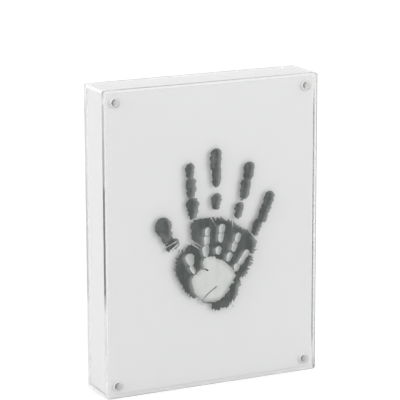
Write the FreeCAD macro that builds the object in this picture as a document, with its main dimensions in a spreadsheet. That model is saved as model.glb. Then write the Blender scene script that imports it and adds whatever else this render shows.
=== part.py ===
import FreeCAD, Part
import math
import os
import Sketcher
from FreeCAD import Placement, Rotation, Vector

# Deep clear acrylic frame that stands on its own long box. Two clear plates are held by corner
# magnets on a box of four clear walls, over white cards and a white card sleeve round four posts.
# An adult's and a baby's hand prints in paint are on the front plate.
# The origin is the centre of the base, the front faces -Y and +Z is up. Sizes are in millimetres.

driving = {
    "frame_width": "228.6",
    "frame_height": "304.8",
    "frame_depth": "49",
    "corner_round": "2",
    "edge_round": "0.6",
    "plate_thick": "5",
    "wall_thick": "3",
    "plate_gap": "0.2",
    "magnet_inset": "12",
    "magnet_diameter": "9.5",
    "magnet_thick": "3.2",
    "magnet_round": "0.9",
    "bore_clearance": "0.25",
    "glue_line": "0.1",
    "post_chamfer": "1",
    "card_thick": "1.2",
    "card_clearance": "0.4",
    "card_corner": "0.8",
    "card_gap": "0.1",
    "sleeve_thick": "0.8",
    "sleeve_clearance": "0.2",
    "sleeve_fold": "0.5",
    "paint_thick": "0.15",
    "paint_gap": "0.4",
    "cut_overrun": "1",
    "adult_span": "164.5",
    "adult_offset": "2.7",
    "adult_heel_height": "76",
    "baby_span": "78.4",
    "baby_offset": "0.6",
    "baby_heel_height": "85.2",
}

doc = FreeCAD.newDocument("HandprintFrame")
sheet = doc.addObject("Spreadsheet::Sheet", "Sizes")
for row, (alias, value) in enumerate(driving.items(), start=1):
    sheet.set("A%d" % row, alias)
    sheet.set("B%d" % row, value)
    sheet.setAlias("B%d" % row, alias)
doc.recompute()

# Expressions on the sheet that several pieces share
frameWidth = "Sizes.frame_width"
frameHeight = "Sizes.frame_height"
frameFront = "(-Sizes.frame_depth / 2)"
plateThick = "Sizes.plate_thick"
wallThick = "Sizes.wall_thick"
boxDepth = "(Sizes.frame_depth - 2 * Sizes.plate_thick - 2 * Sizes.plate_gap)"
boxFront = "(-%s / 2)" % boxDepth
boxWidth = "(Sizes.frame_width - 2 * Sizes.wall_thick)"
boxHeight = "(Sizes.frame_height - 2 * Sizes.wall_thick)"
cardWidth = "(%s - 2 * Sizes.card_clearance)" % boxWidth
cardHeight = "(%s - 2 * Sizes.card_clearance)" % boxHeight
liningDepth = "(%s - 2 * Sizes.card_thick - 2 * Sizes.card_gap)" % boxDepth
liningFront = "(-%s / 2)" % liningDepth
sleeveInset = "(Sizes.wall_thick + Sizes.sleeve_clearance)"
sleeveWidth = "(Sizes.frame_width - 2 * %s)" % sleeveInset
sleeveHeight = "(Sizes.frame_height - 2 * %s)" % sleeveInset
postSide = "(2 * (Sizes.magnet_inset - %s - Sizes.sleeve_thick))" % sleeveInset
magnetInset = "Sizes.magnet_inset"
magnetThick = "Sizes.magnet_thick"
magnetRadius = "(Sizes.magnet_diameter / 2)"
boreRadius = "(%s + Sizes.bore_clearance)" % magnetRadius
boreDepth = "(Sizes.magnet_thick + Sizes.glue_line)"

# Each corner: is it on the right, is it at the top
corners = {
    "top_left": (False, True),
    "top_right": (True, True),
    "bottom_left": (False, False),
    "bottom_right": (True, False),
}

straightCosine = math.cos(math.radians(1))


def millimetres(alias):
    return float(sheet.get(alias))


def newBody(label):
    body = doc.addObject("PartDesign::Body", label)
    body.Label = label
    return body


def newSketch(body, name, deeper=None):
    """A sketch on the body's own XZ plane, or moved from it along +Y by an expression."""
    sketch = body.newObject("Sketcher::SketchObject", name)
    plane = [item for item in body.Origin.OriginFeatures if item.Role == "XZ_Plane"][0]
    sketch.AttachmentSupport = [(plane, "")]
    sketch.MapMode = "FlatFace"
    if deeper:
        sketch.setExpression("AttachmentOffset.Base.z", "-%s" % deeper)
    return sketch


def bind(sketch, name, constraint, expression):
    index = sketch.addConstraint(constraint)
    sketch.renameConstraint(index, name)
    sketch.setExpression("Constraints.%s" % name, expression)
    doc.recompute()


def bindPoint(sketch, name, geometry, point, across, up):
    """Holds a point of the sketch at two expressions from the sketch's own origin."""
    bind(sketch, name + "_across", Sketcher.Constraint("DistanceX", -1, 1, geometry, point, 1), across)
    bind(sketch, name + "_up", Sketcher.Constraint("DistanceY", -1, 1, geometry, point, 1), up)


def addRectangle(sketch, name, wide, high, inset=None):
    """A rectangle from the sketch's origin, or inset from it by the same amount both ways."""
    unit = [Vector(0, 0, 0), Vector(1, 0, 0), Vector(1, 1, 0), Vector(0, 1, 0)]
    bottom = sketch.GeometryCount
    right, top, left = bottom + 1, bottom + 2, bottom + 3
    for side, start in enumerate(unit):
        sketch.addGeometry(Part.LineSegment(start, unit[(side + 1) % len(unit)]), False)
    for here, following in ((bottom, right), (right, top), (top, left), (left, bottom)):
        sketch.addConstraint(Sketcher.Constraint("Coincident", here, 2, following, 1))
    for edge in (bottom, top):
        sketch.addConstraint(Sketcher.Constraint("Horizontal", edge))
    for edge in (right, left):
        sketch.addConstraint(Sketcher.Constraint("Vertical", edge))
    if inset:
        bindPoint(sketch, name + "_corner", bottom, 1, inset, inset)
    else:
        sketch.addConstraint(Sketcher.Constraint("Coincident", bottom, 1, -1, 1))
    bind(sketch, name + "_wide", Sketcher.Constraint("DistanceX", bottom, 1, bottom, 2, 1), wide)
    bind(sketch, name + "_high", Sketcher.Constraint("DistanceY", right, 1, right, 2, 1), high)


def addCircle(sketch, name, radius, across=None, up=None):
    """A circle on the sketch's origin, or at two expressions from it."""
    circle = sketch.addGeometry(Part.Circle(Vector(0, 0, 0), Vector(0, 0, 1), 1), False)
    bind(sketch, name + "_radius", Sketcher.Constraint("Radius", circle, 1), radius)
    if across:
        bindPoint(sketch, name + "_centre", circle, 3, across, up)
    else:
        sketch.addConstraint(Sketcher.Constraint("Coincident", circle, 3, -1, 1))


def pad(body, sketch, length, towardsBack=True):
    feature = body.newObject("PartDesign::Pad", sketch.Name + "_pad")
    feature.Profile = sketch
    feature.Reversed = towardsBack
    feature.setExpression("Length", length)
    doc.recompute()


def pocket(body, sketch, length, towardsBack=True):
    before = body.Shape.Volume
    feature = body.newObject("PartDesign::Pocket", sketch.Name + "_pocket")
    feature.Profile = sketch
    feature.Reversed = not towardsBack
    feature.setExpression("Length", length)
    doc.recompute()
    if not body.Shape.Volume < before:
        raise RuntimeError("%s cuts nothing" % feature.Name)


def dressEdges(body, kind, name, wanted, expression):
    """Rounds or chamfers those edges of the body's last feature that the test picks."""
    base = body.Tip
    names = ["Edge%d" % number for number, edge in enumerate(base.Shape.Edges, start=1) if wanted(edge)]
    if not names:
        raise RuntimeError("%s finds no edge" % name)
    feature = body.newObject("PartDesign::" + kind, name)
    feature.Base = (base, names)
    feature.setExpression("Radius" if kind == "Fillet" else "Size", expression)
    doc.recompute()


def runsAlongDepth(edge):
    """True for a straight edge from front to back."""
    if not isinstance(edge.Curve, Part.Line):
        return False
    return abs(edge.tangentAt(edge.FirstParameter).y) > straightCosine


def isRound(edge):
    return isinstance(edge.Curve, Part.Circle)


def place(body, across=None, deep=None, up=None):
    """Moves a body to expressions on the sheet."""
    for axis, expression in (("x", across), ("y", deep), ("z", up)):
        if expression:
            body.setExpression("Placement.Base." + axis, expression)
    doc.recompute()


def magnetCentre(corner):
    """A magnet's centre in the frame, as expressions across and up."""
    isRight, isTop = corners[corner]
    across = "(Sizes.frame_width / 2 - Sizes.magnet_inset)"
    up = "(Sizes.frame_height - Sizes.magnet_inset)" if isTop else magnetInset
    return (across if isRight else "(-%s)" % across), up


def makePlate(label):
    """Clear plate with rounded corners and a rounded outer rim. Its inner face is the body's own
    XZ plane, it grows towards -Y, and its blind magnet bores open in the inner face."""
    body = newBody(label)
    outline = newSketch(body, label + "_outline")
    addRectangle(outline, "outline", frameWidth, frameHeight)
    pad(body, outline, plateThick, towardsBack=False)
    dressEdges(body, "Fillet", label + "_corners", runsAlongDepth, "Sizes.corner_round")
    midThick = -millimetres("plate_thick") / 2
    dressEdges(body, "Fillet", label + "_rim", lambda edge: edge.BoundBox.YMax < midThick, "Sizes.edge_round")
    bores = newSketch(body, label + "_bores")
    for corner, (isRight, isTop) in corners.items():
        across = "(Sizes.frame_width - Sizes.magnet_inset)" if isRight else magnetInset
        up = "(Sizes.frame_height - Sizes.magnet_inset)" if isTop else magnetInset
        addCircle(bores, corner, boreRadius, across, up)
    pocket(body, bores, boreDepth, towardsBack=False)
    return body


def makeWall(label, wide, high, across, up, outerEdges=None):
    """One clear wall of the box, as deep as the box, with its outer corners rounded if it has any."""
    body = newBody(label)
    outline = newSketch(body, label + "_outline")
    addRectangle(outline, "outline", wide, high)
    pad(body, outline, boxDepth)
    if outerEdges:
        dressEdges(body, "Fillet", label + "_corners", outerEdges, "Sizes.corner_round")
    place(body, across, boxFront, up)


def makeWalls():
    """The top and bottom walls run right across, and the side walls stand between them."""
    midWall = millimetres("wall_thick") / 2
    leftEdge = "(-Sizes.frame_width / 2)"
    rightInner = "(Sizes.frame_width / 2 - Sizes.wall_thick)"
    topInner = "(Sizes.frame_height - Sizes.wall_thick)"
    makeWall("bottom_wall", frameWidth, wallThick, leftEdge, None,
             lambda edge: runsAlongDepth(edge) and edge.BoundBox.ZMax < midWall)
    makeWall("top_wall", frameWidth, wallThick, leftEdge, topInner,
             lambda edge: runsAlongDepth(edge) and edge.BoundBox.ZMin > midWall)
    makeWall("left_wall", wallThick, boxHeight, leftEdge, wallThick)
    makeWall("right_wall", wallThick, boxHeight, rightInner, wallThick)


def makeCard(label, deep):
    """White card that lies inside the walls, flush with their ends."""
    body = newBody(label)
    outline = newSketch(body, label + "_outline")
    addRectangle(outline, "outline", cardWidth, cardHeight)
    pad(body, outline, "Sizes.card_thick")
    dressEdges(body, "Fillet", label + "_corners", runsAlongDepth, "Sizes.card_corner")
    place(body, "-%s / 2" % cardWidth, deep, "Sizes.wall_thick + Sizes.card_clearance")


def makeSleeve():
    """White card band folded round the four posts, with its folds rounded inside and out."""
    label = "card_sleeve"
    body = newBody(label)
    outline = newSketch(body, label + "_outline")
    addRectangle(outline, "outer", sleeveWidth, sleeveHeight)
    thick = "Sizes.sleeve_thick"
    addRectangle(outline, "inner", sleeveWidth + " - 2 * " + thick, sleeveHeight + " - 2 * " + thick, thick)
    pad(body, outline, liningDepth)
    width = millimetres("frame_width") - 2 * (millimetres("wall_thick") + millimetres("sleeve_clearance"))
    onSide = millimetres("sleeve_thick") / 2

    def isInner(edge):
        return runsAlongDepth(edge) and onSide < edge.BoundBox.Center.x < width - onSide

    def isOuter(edge):
        return runsAlongDepth(edge) and not onSide < edge.BoundBox.Center.x < width - onSide

    dressEdges(body, "Fillet", label + "_folds_inside", isInner, "Sizes.sleeve_fold")
    dressEdges(body, "Fillet", label + "_folds_outside", isOuter, "Sizes.sleeve_fold + " + thick)
    place(body, "-%s / 2" % sleeveWidth, liningFront, sleeveInset)


def makePost(corner):
    """Square corner post with a magnet bore in each end, set inside a corner of the sleeve."""
    label = "post_" + corner
    body = newBody(label)
    outline = newSketch(body, label + "_outline")
    addRectangle(outline, "outline", postSide, postSide)
    pad(body, outline, liningDepth)
    dressEdges(body, "Chamfer", label + "_chamfers", runsAlongDepth, "Sizes.post_chamfer")
    halfSide = "%s / 2" % postSide
    front = newSketch(body, label + "_front_bore")
    addCircle(front, "bore", boreRadius, halfSide, halfSide)
    pocket(body, front, boreDepth)
    rear = newSketch(body, label + "_rear_bore", liningDepth)
    addCircle(rear, "bore", boreRadius, halfSide, halfSide)
    pocket(body, rear, boreDepth, towardsBack=False)
    across, up = magnetCentre(corner)
    place(body, "%s - %s" % (across, halfSide), liningFront, "%s - %s" % (up, halfSide))


def makeMagnet(label, corner, deep):
    """Nickel-plated disc with rounded rims, from its front face at the given depth."""
    body = newBody(label)
    outline = newSketch(body, label + "_outline")
    addCircle(outline, "disc", magnetRadius)
    pad(body, outline, magnetThick)
    dressEdges(body, "Fillet", label + "_rims", isRound, "Sizes.magnet_round")
    across, up = magnetCentre(corner)
    place(body, across, deep, up)


def makePlates():
    front = makePlate("front_plate")
    place(front, "-Sizes.frame_width / 2", frameFront + " + Sizes.plate_thick")
    rear = makePlate("rear_plate")
    rear.Placement = Placement(Vector(0, 0, 0), Rotation(Vector(0, 0, 1), 180))
    place(rear, "Sizes.frame_width / 2", "Sizes.frame_depth / 2 - Sizes.plate_thick")


def makeMagnets():
    """A magnet in each corner of each plate, flush with the plate's inner face, and one in each end
    of each post, flush with the post's end."""
    for corner in corners:
        makeMagnet("front_magnet_" + corner, corner, frameFront + " + Sizes.plate_thick - Sizes.magnet_thick")
        makeMagnet("rear_magnet_" + corner, corner, "Sizes.frame_depth / 2 - Sizes.plate_thick")
        makeMagnet("post_front_magnet_" + corner, corner, liningFront)
        makeMagnet("post_rear_magnet_" + corner, corner, "-%s - Sizes.magnet_thick" % liningFront)


# Each hand's pads, in chains that run together: how far across and up from the middle of the heel,
# how long and how wide, all as shares of the hand's span, then the lean to the right in degrees, and
# the width at the lower end as a share of the width at the upper end.
adultPadShares = [
    [(-0.333, 0.529, 0.164, 0.104, -17, 0.72), (-0.284, 0.438, 0.092, 0.066, 65, 0.90)],
    [(-0.168, 0.871, 0.098, 0.058, 2, 0.85), (-0.161, 0.768, 0.126, 0.067, -2, 0.80),
     (-0.150, 0.641, 0.136, 0.085, -4, 0.50)],
    [(0.002, 0.923, 0.138, 0.075, 2, 0.90), (0.006, 0.826, 0.138, 0.064, -1, 0.80)],
    [(0.004, 0.669, 0.104, 0.065, 3, 0.75)],
    [(0.220, 0.832, 0.118, 0.073, 8, 0.90), (0.196, 0.729, 0.124, 0.067, 9, 0.85)],
    [(0.153, 0.602, 0.098, 0.059, 14, 0.70)],
    [(0.352, 0.640, 0.118, 0.069, 17, 0.90), (0.321, 0.567, 0.126, 0.067, 17, 0.90),
     (0.269, 0.480, 0.112, 0.064, 19, 0.70)],
]
babyPadShares = [
    [(-0.326, 0.580, 0.164, 0.120, -14, 0.75), (-0.290, 0.450, 0.116, 0.062, -30, 0.90)],
    [(-0.085, 0.912, 0.112, 0.073, 3, 0.90), (-0.094, 0.806, 0.158, 0.082, 3, 0.90),
     (-0.109, 0.669, 0.146, 0.099, -2, 0.75)],
    [(0.114, 0.925, 0.132, 0.083, 6, 0.90), (0.101, 0.825, 0.140, 0.080, 8, 0.85)],
    [(0.066, 0.656, 0.112, 0.086, 6, 0.80)],
    [(0.336, 0.788, 0.130, 0.080, 17, 0.90), (0.287, 0.683, 0.136, 0.078, 17, 0.85)],
    [(0.217, 0.553, 0.124, 0.082, 20, 0.80)],
    [(0.446, 0.563, 0.120, 0.078, 33, 0.95), (0.390, 0.487, 0.125, 0.074, 36, 0.90),
     (0.318, 0.406, 0.104, 0.084, 18, 0.75)],
]
# The palms' outlines, clockwise from the upper left, as shares of the span from the same point
adultPalmShares = [
    (-0.162, 0.500), (-0.161, 0.545), (-0.138, 0.570), (-0.090, 0.577), (-0.035, 0.577), (0.020, 0.570),
    (0.070, 0.552), (0.120, 0.530), (0.165, 0.495), (0.215, 0.471), (0.250, 0.433), (0.269, 0.390),
    (0.262, 0.338), (0.246, 0.290), (0.226, 0.235), (0.188, 0.187), (0.157, 0.140), (0.150, 0.095),
    (0.130, 0.052), (0.098, 0.014), (0.050, 0.004), (0.000, 0.006), (-0.034, 0.026), (-0.010, 0.100),
    (-0.030, 0.260), (-0.070, 0.380), (-0.115, 0.420), (-0.150, 0.455),
]
adultThumbMoundShares = [
    (-0.205, 0.388), (-0.186, 0.413), (-0.160, 0.427), (-0.120, 0.415), (-0.084, 0.375), (-0.060, 0.250),
    (-0.085, 0.160), (-0.104, 0.092), (-0.144, 0.098), (-0.180, 0.116), (-0.216, 0.165), (-0.246, 0.218),
    (-0.261, 0.275), (-0.267, 0.325), (-0.242, 0.362),
]
babyPalmShares = [
    (-0.149, 0.500), (-0.142, 0.562), (-0.098, 0.583), (-0.034, 0.586), (0.021, 0.573), (0.060, 0.545),
    (0.120, 0.517), (0.180, 0.480), (0.235, 0.425), (0.280, 0.365), (0.300, 0.305), (0.282, 0.250),
    (0.245, 0.188), (0.195, 0.118), (0.142, 0.052), (0.090, 0.012), (0.020, -0.002), (-0.070, 0.008),
    (-0.135, 0.024), (-0.180, 0.067), (-0.240, 0.118), (-0.280, 0.183), (-0.300, 0.270), (-0.295, 0.350),
    (-0.262, 0.386), (-0.220, 0.400), (-0.180, 0.434), (-0.142, 0.452),
]
# Bare creases in each hand, and loose marks of the adult's paint outside its pads and palms: the
# width of each and the points along it, as shares of the hand's span
adultCreaseShares = [
    (0.008, [(-0.166, 0.453), (-0.088, 0.402)]),
    (0.006, [(-0.156, 0.427), (-0.098, 0.386)]),
    (0.008, [(-0.038, 0.588), (0.000, 0.523)]),
    (0.005, [(-0.014, 0.590), (0.002, 0.556)]),
    (0.007, [(0.112, 0.556), (0.111, 0.486)]),
    (0.010, [(0.228, 0.318), (0.290, 0.312)]),
    (0.008, [(0.212, 0.482), (0.236, 0.449), (0.270, 0.408)]),
    (0.006, [(-0.298, 0.401), (-0.250, 0.434)]),
]
babyCreaseShares = [(0.012, [(0.033, 0.186), (-0.035, 0.144), (-0.091, 0.103), (-0.136, 0.058)])]
adultMarkShares = [
    (0.010, [(-0.094, 0.078), (-0.084, 0.062), (-0.065, 0.055), (-0.032, 0.053), (-0.008, 0.050)]),
    (0.012, [(0.168, 0.664), (0.173, 0.661)]),
    (0.007, [(-0.240, 0.402), (-0.243, 0.388)]),
]


def padFace(centre, long, wide, lean, taper):
    """Egg-shaped fingertip pad: a round upper end, a smaller round lower end and straight flanks."""
    upperRadius = wide / 2
    lowerRadius = upperRadius * taper
    apart = long - upperRadius - lowerRadius
    flank = math.asin((upperRadius - lowerRadius) / apart)
    upper = centre + Vector(0, 0, long / 2 - upperRadius)
    lower = centre - Vector(0, 0, long / 2 - lowerRadius)

    def onEnd(middle, radius, side):
        return middle + Vector(side * math.cos(flank), 0, -math.sin(flank)) * radius

    upperLeft = onEnd(upper, upperRadius, -1)
    upperRight = onEnd(upper, upperRadius, 1)
    lowerLeft = onEnd(lower, lowerRadius, -1)
    lowerRight = onEnd(lower, lowerRadius, 1)
    tip = upper + Vector(0, 0, upperRadius)
    heel = lower - Vector(0, 0, lowerRadius)
    edges = [
        Part.Arc(upperLeft, tip, upperRight).toShape(),
        Part.LineSegment(upperRight, lowerRight).toShape(),
        Part.Arc(lowerRight, heel, lowerLeft).toShape(),
        Part.LineSegment(lowerLeft, upperLeft).toShape(),
    ]
    face = Part.Face(Part.Wire(edges))
    face.rotate(centre, Vector(0, 1, 0), lean)
    return face


def paddedFaces(chains, span, grown):
    """The faces of a hand's pads, each grown all round by a length."""
    faces = []
    for chain in chains:
        for across, up, long, wide, lean, taper in chain:
            centre = Vector(across * span, 0, up * span)
            faces.append(padFace(centre, long * span + 2 * grown, wide * span + 2 * grown, lean, taper))
    return faces


def loopFace(shares, span, grown):
    """A smooth closed outline through its points, each moved straight outwards by a length."""
    points = [Vector(across * span, 0, up * span) for across, up in shares]
    moved = []
    for index, point in enumerate(points):
        along = points[(index + 1) % len(points)] - points[index - 1]
        outwards = Vector(-along.z, 0, along.x).normalize()
        moved.append(point + outwards * grown)
    curve = Part.BSplineCurve()
    curve.interpolate(moved, PeriodicFlag=True)
    return Part.Face(Part.Wire([curve.toShape()]))


def lineFaces(lines, span):
    """Slim strips with round ends, one from each point of a line to the next."""
    faces = []
    for wide, shares in lines:
        points = [Vector(across * span, 0, up * span) for across, up in shares]
        for start, end in zip(points, points[1:]):
            along = end - start
            lean = math.degrees(math.atan2(along.x, along.z))
            faces.append(padFace((start + end) / 2, along.Length + wide * span, wide * span, lean, 1))
    return faces


def film(faces, front, back):
    """The faces thickened into one film between two depths."""
    layers = []
    for face in faces:
        layer = face.extrude(Vector(0, front - back, 0))
        layer.translate(Vector(0, back, 0))
        layers.append(layer)
    return layers[0].fuse(layers[1:]).removeSplitter()


def babyFaces(grown=0):
    span = millimetres("baby_span")
    return paddedFaces(babyPadShares, span, grown) + [loopFace(babyPalmShares, span, grown)]


def adultFaces():
    span = millimetres("adult_span")
    palms = [loopFace(shares, span, 0) for shares in (adultPalmShares, adultThumbMoundShares)]
    return paddedFaces(adultPadShares, span, 0) + palms + lineFaces(adultMarkShares, span)


def makePrint(label, shape, offset, heelHeight):
    """Paint film that lies on the front plate's outer face."""
    paint = doc.addObject("Part::Feature", label)
    paint.Label = label
    paint.Shape = shape
    paint.setExpression("Placement.Base.x", offset)
    paint.setExpression("Placement.Base.y", frameFront)
    paint.setExpression("Placement.Base.z", heelHeight)
    doc.recompute()


def makePrints():
    """The adult print is cut back all round the baby print, which lies in its palm."""
    front = -millimetres("paint_thick")
    overrun = millimetres("cut_overrun")
    around = film(babyFaces(millimetres("paint_gap")), front - overrun, overrun)
    shiftAcross = millimetres("baby_offset") - millimetres("adult_offset")
    shiftUp = millimetres("baby_heel_height") - millimetres("adult_heel_height")
    around.translate(Vector(shiftAcross, 0, shiftUp))
    adultCreases = film(lineFaces(adultCreaseShares, millimetres("adult_span")), front - overrun, overrun)
    babyCreases = film(lineFaces(babyCreaseShares, millimetres("baby_span")), front - overrun, overrun)
    adult = film(adultFaces(), front, 0).cut([around, adultCreases])
    baby = film(babyFaces(), front, 0).cut(babyCreases)
    makePrint("baby_handprint", baby, "Sizes.baby_offset", "Sizes.baby_heel_height")
    makePrint("adult_handprint", adult, "Sizes.adult_offset", "Sizes.adult_heel_height")


def exportParts():
    """Checks every object, then writes one file for each sub-part."""
    failed = [item.Name for item in doc.Objects if {"Invalid", "Error"} & set(item.State)]
    if failed:
        raise RuntimeError("these failed: " + ", ".join(failed))
    pieces = [item for item in doc.Objects if item.TypeId in ("PartDesign::Body", "Part::Feature")]
    for piece in pieces:
        if piece.Shape.isNull() or not piece.Shape.isValid():
            raise RuntimeError("%s has no sound shape" % piece.Label)
        if min([solid.Volume for solid in piece.Shape.Solids], default=0) <= 0:
            raise RuntimeError("%s is not solid all through" % piece.Label)
    os.makedirs("parts", exist_ok=True)
    for piece in pieces:
        piece.Shape.exportStep("parts/%s.step" % piece.Label)
        print("%-28s %2d solids %10.1f mm3" % (piece.Label, len(piece.Shape.Solids), piece.Shape.Volume))


makeWalls()
makePlates()
makeCard("front_card", boxFront)
makeCard("rear_card", "-%s - Sizes.card_thick" % boxFront)
makeSleeve()
for corner in corners:
    makePost(corner)
makeMagnets()
makePrints()
exportParts()
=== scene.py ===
import math
import bpy
import numpy as np
from mathutils import Matrix, Vector


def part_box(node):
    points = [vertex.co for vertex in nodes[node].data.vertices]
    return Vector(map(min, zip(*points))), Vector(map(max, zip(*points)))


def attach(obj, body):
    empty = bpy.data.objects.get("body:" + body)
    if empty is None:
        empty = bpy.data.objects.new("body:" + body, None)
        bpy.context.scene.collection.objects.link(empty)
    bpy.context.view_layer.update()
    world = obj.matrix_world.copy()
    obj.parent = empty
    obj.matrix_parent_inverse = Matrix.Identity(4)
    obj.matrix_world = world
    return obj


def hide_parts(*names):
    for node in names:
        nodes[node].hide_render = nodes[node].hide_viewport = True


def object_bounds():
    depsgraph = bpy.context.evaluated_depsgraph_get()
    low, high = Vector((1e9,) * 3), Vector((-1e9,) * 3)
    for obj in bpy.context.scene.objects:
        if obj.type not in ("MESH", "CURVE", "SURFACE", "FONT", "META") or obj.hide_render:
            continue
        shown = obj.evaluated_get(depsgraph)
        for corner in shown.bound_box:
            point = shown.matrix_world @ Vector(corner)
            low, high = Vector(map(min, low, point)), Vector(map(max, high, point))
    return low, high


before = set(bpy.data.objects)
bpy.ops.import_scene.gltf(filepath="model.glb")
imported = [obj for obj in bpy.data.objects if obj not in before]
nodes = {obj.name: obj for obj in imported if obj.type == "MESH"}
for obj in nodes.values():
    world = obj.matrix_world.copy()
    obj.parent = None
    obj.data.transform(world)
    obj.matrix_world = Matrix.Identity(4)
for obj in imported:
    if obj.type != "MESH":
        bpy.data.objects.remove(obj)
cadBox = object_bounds()
frameMiddle = (cadBox[0] + cadBox[1]) / 2
mm = 0.001
corners = ["top_left", "top_right", "bottom_left", "bottom_right"]
print("frame loaded,", len(nodes), "pieces")


# Where the outputs that are used stand in their nodes
outputs = {"generated": 0, "object": 3, "normal": 1}
rays = {"camera": 0, "shadow": 1, "diffuse": 2, "glossy": 3, "transmission": 6}


# A Signal is a node's output, and sums on it add Math nodes
class Signal:
    def __init__(self, shader, socket):
        self.shader = shader
        self.socket = socket

    def __add__(self, other):
        return self.shader.maths("ADD", self, other)

    def __radd__(self, other):
        return self.shader.maths("ADD", other, self)

    def __sub__(self, other):
        return self.shader.maths("SUBTRACT", self, other)

    def __rsub__(self, other):
        return self.shader.maths("SUBTRACT", other, self)

    def __mul__(self, other):
        return self.shader.maths("MULTIPLY", self, other)

    def __rmul__(self, other):
        return self.shader.maths("MULTIPLY", other, self)


class Shader:
    def __init__(self, owner):
        owner.use_nodes = True
        self.tree = owner.node_tree
        self.tree.nodes.clear()

    # kind is the node's type, settings go on the node first, and sockets holds values or links
    def node(self, kind, settings=None, sockets=None):
        made = self.tree.nodes.new("ShaderNode" + kind)
        for name, value in (settings or {}).items():
            if name == "stops":
                setStops(made.color_ramp, value)
            else:
                setattr(made, name, value)
        for name, value in (sockets or {}).items():
            if isinstance(value, Signal):
                self.tree.links.new(value.socket, made.inputs[name])
            else:
                made.inputs[name].default_value = value
        return [Signal(self, output) for output in made.outputs]

    def maths(self, operation, first, second=0.0):
        return self.node("Math", {"operation": operation}, {0: first, 1: second})[0]

    def ramp(self, signal, stops):
        return self.node("ValToRGB", {"stops": stops}, {"Fac": signal})[0]

    # 0 below low and 1 above high
    def rise(self, signal, low, high):
        return self.ramp(signal, [(low, grey(0.0)), (high, grey(1.0))])

    def split(self, vector):
        return self.node("SeparateXYZ", None, {0: vector})

    def mixColours(self, amount, first, second):
        sockets = {0: amount, 6: first, 7: second}
        return self.node("Mix", {"data_type": "RGBA"}, sockets)[2]

    # the piece's own coordinates in metres
    def place(self):
        return self.node("TexCoord")[outputs["object"]]

    # how squarely the surface looks along X, Y or Z, from 0 to 1
    def facing(self, axis):
        normal = self.split(self.node("NewGeometry")[outputs["normal"]])
        return self.maths("ABSOLUTE", normal["XYZ".index(axis)])

    # noise with so many waves to the metre each way
    def noise(self, waves, detail=3.0, roughness=0.55):
        stretched = self.node("Mapping", None, {"Vector": self.place(), "Scale": waves})[0]
        sockets = {"Vector": stretched, "Scale": 1.0, "Detail": detail, "Roughness": roughness}
        return self.node("TexNoise", None, sockets)[0]

    # relief is its strength and its height in metres
    def bump(self, height, relief):
        sockets = {"Height": height, "Strength": relief[0], "Distance": relief[1]}
        return self.node("Bump", None, sockets)[0]

    # 1 where the camera looks, and where a mirror or a clear plate shows it what is beyond
    def isSeen(self):
        path = self.node("LightPath")
        beyond = self.maths("MAXIMUM", path[rays["glossy"]], path[rays["transmission"]])
        return self.maths("MAXIMUM", path[rays["camera"]], beyond)

    def finish(self, surface, volume=None):
        sockets = {"Surface": surface}
        if volume:
            sockets["Volume"] = volume
        self.node("OutputMaterial", None, sockets)


def setStops(ramp, stops):
    while len(ramp.elements) < len(stops):
        ramp.elements.new(1.0)
    for element, (place, colour) in zip(ramp.elements, stops):
        element.position = place
        element.color = colour


def grey(value, warmth=0.0):
    return (value * (1 + warmth), value, value * (1 - warmth), 1.0)


# A factor that goes up and down round 1 with a noise
def varied(noise, spread):
    return (1 - spread / 2) + spread * noise


# Clear cast acrylic: glassy broad faces, and saw-cut edges that were only flame polished. A whiter haze
# is left on the cut edges towards the frame's top and bottom and on the outer parts of the left edge.
# The plates' right and bottom cut edges are painted grey, as painted shade.
acrylic = {
    "tint": (0.956, 0.958, 0.957, 1.0),
    "bend": 1.49,
    "smearWaves": (9, 9, 14),
    "swellWaves": (14, 14, 11),
    "sawWaves": (900, 260, 900),
    "relief": (0.03, 0.4 * mm),
    "smudge": 0.012,
    "cutRough": 0.07,
    "cutSpread": 0.8,
    "broadFrom": 0.97,
    "edge": 1.0 * mm,
    "frost": grey(0.94),
    "frostSpread": 0.3,
    "ends": (118 * mm, 140 * mm),
    "outer": (54 * mm, 66 * mm),
    "topLoss": 0.55,
    "paintedEdgeShade": (0.34, 0.35, 0.345, 1.0),
    "paintedEdgeShadeSpread": 0.4,
    "paintedEdgeShadeDepth": 3.0 * mm,
    "lampTint": (0.95, 0.95, 0.95, 1.0),
    "inside": (0.55, 0.58, 0.57, 1.0),
    "density": 6.0,
}
# Each finish has its pieces and the axis that their broad faces look along, and every other face is a
# cut one. "haze" lies all over the cut faces, "endHaze" near the frame's top and bottom, and
# "outerHaze" on the outer parts of the left edge. The last pair is the painted shade on the right and
# bottom edges.
finishes = {
    "frontAcrylic": {"pieces": ["front_plate"], "broad": "Y",
                     "haze": 0.05, "endHaze": 0.25, "outerHaze": 0.55, "paintedEdgeShades": (0.9, 0.45)},
    "rearAcrylic": {"pieces": ["rear_plate"], "broad": "Y",
                    "haze": 0.36, "endHaze": 0.25, "outerHaze": 0.28, "paintedEdgeShades": (0.9, 0.45)},
    "sideAcrylic": {"pieces": ["left_wall", "right_wall"], "broad": "X",
                    "haze": 0.05, "endHaze": 0.70, "outerHaze": 0.0, "paintedEdgeShades": (0.0, 0.0)},
    "shelfAcrylic": {"pieces": ["top_wall", "bottom_wall"], "broad": "Z",
                     "haze": 0.05, "endHaze": 0.84, "outerHaze": 0.0, "paintedEdgeShades": (0.0, 0.0)},
}


# The clear glass, which shows its saw marks on the cut faces
def glassOf(shader, isCut, saw):
    smear = shader.noise(acrylic["smearWaves"], detail=5.0)
    swell = shader.noise(acrylic["swellWaves"], detail=1.0)
    sawn = isCut * (acrylic["cutRough"] * varied(saw, acrylic["cutSpread"]))
    return shader.node("BsdfPrincipled", None, {
        "Base Color": acrylic["tint"],
        "Roughness": smear * acrylic["smudge"] + sawn,
        "IOR": acrylic["bend"],
        "Transmission Weight": 1.0,
        "Normal": shader.bump(swell + isCut * saw, acrylic["relief"]),
    })[0]
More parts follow.
